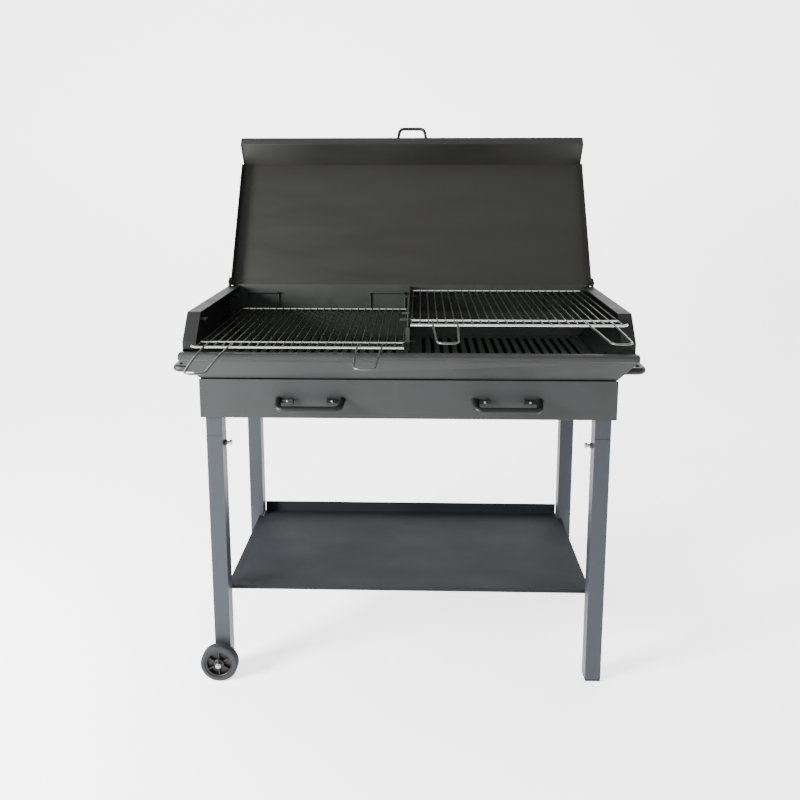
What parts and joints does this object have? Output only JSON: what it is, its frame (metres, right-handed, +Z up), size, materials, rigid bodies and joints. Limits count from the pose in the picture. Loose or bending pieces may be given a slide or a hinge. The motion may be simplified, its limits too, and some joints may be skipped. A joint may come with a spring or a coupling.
{
  "type": "charcoal barbecue",
  "caption": "Sheet-steel charcoal barbecue on legs, with a hinged lid, wire grates that lift, an ash drawer, a low shelf, carrying handles and wheels.",
  "frame": {"origin": "on the floor under the middle of the whole barbecue with its lid open", "axes": "+Z up, +X to the right of someone who cooks at it, +Y away from them towards the lid's hinge"},
  "size_m": [1.18, 0.9104, 1.4433],
  "materials": {
    "frame_paint": "semi-matt grey heat-resistant paint",
    "lid_paint": "semi-matt olive-grey heat-resistant paint",
    "wire": "bright plated wire",
    "zinc_steel": "zinc-plated",
    "dark_plastic": "moulded, semi-matt",
    "tread": "moulded tread"
  },
  "bodies": {
    "stand": {"ash_box_floor": "frame_paint", "ash_box_side_left": "frame_paint", "ash_box_side_right": "frame_paint", "axle_bolt_front": "zinc_steel", "axle_bolt_rear": "zinc_steel", "axle_nut_front": "zinc_steel", "axle_nut_rear": "zinc_steel", "charcoal_grate_left": "frame_paint", "charcoal_grate_right": "frame_paint", "clamp_bolt_front_left": "zinc_steel", "clamp_bolt_front_right": "zinc_steel", "clamp_bolt_rear_left": "zinc_steel", "clamp_bolt_rear_right": "zinc_steel", "divider": "frame_paint", "drawer_runner_left": "frame_paint", "drawer_runner_right": "frame_paint", "firebox_front": "frame_paint", "firebox_side_left": "frame_paint", "firebox_side_right": "frame_paint", "foot_plug_front_right": "dark_plastic", "foot_plug_rear_right": "dark_plastic", "leg_front_left": "frame_paint", "leg_front_right": "frame_paint", "leg_rear_left": "frame_paint", "leg_rear_right": "frame_paint", "leg_socket_front_left": "frame_paint", "leg_socket_front_right": "frame_paint", "leg_socket_rear_left": "frame_paint", "leg_socket_rear_right": "frame_paint", "pivot_bolt_left": "frame_paint", "pivot_bolt_right": "frame_paint", "pivot_nut_left": "frame_paint", "pivot_nut_right": "frame_paint", "rear_baffle": "frame_paint", "rear_panel": "frame_paint", "rear_rest_left_inner": "frame_paint", "rear_rest_left_outer": "frame_paint", "rear_rest_right_inner": "frame_paint", "rear_rest_right_outer": "frame_paint", "shelf": "frame_paint", "side_handle_left": "dark_plastic", "side_handle_right": "dark_plastic"},
    "lid": {"lid_sheet": "lid_paint", "lid_handle": "dark_plastic"},
    "drawer": {"drawer_tray": "frame_paint", "drawer_front": "frame_paint", "drawer_handle_left": "dark_plastic", "drawer_handle_right": "dark_plastic"},
    "left_grate": {"cooking_grate_left": "wire", "lifting_loop_left_outer": "wire", "lifting_loop_left_inner": "wire"},
    "right_grate": {"cooking_grate_right": "wire", "lifting_loop_right_outer": "wire", "lifting_loop_right_inner": "wire"},
    "front_wheel": {"wheel_hub_front": "dark_plastic", "wheel_tyre_front": "tread"},
    "rear_wheel": {"wheel_hub_rear": "dark_plastic", "wheel_tyre_rear": "tread"}
  },
  "joints": [
    {"name": "lid_hinge", "type": "hinge", "parent": "stand", "child": "lid", "pos_m": [0, 0.23179, 0.97], "axis": [-1, 0, 0], "range_deg": [-116, 0]},
    {"name": "drawer_slide", "type": "slide", "parent": "stand", "child": "drawer", "axis": [0, -1, 0], "range_m": [0, 0.35]},
    {"name": "left_grate_lift", "type": "slide", "parent": "stand", "child": "left_grate", "axis": [0, 0, 1], "range_m": [0, 0.04]},
    {"name": "right_grate_lift", "type": "slide", "parent": "stand", "child": "right_grate", "axis": [0, 0, 1], "range_m": [0, 0.06]},
    {"name": "front_wheel_spin", "type": "hinge", "parent": "stand", "child": "front_wheel", "pos_m": [-0.486, -0.26221, 0.048], "axis": [0, 1, 0], "continuous": true},
    {"name": "rear_wheel_spin", "type": "hinge", "parent": "stand", "child": "rear_wheel", "pos_m": [-0.486, 0.25379, 0.048], "axis": [0, 1, 0], "continuous": true}
  ]
}
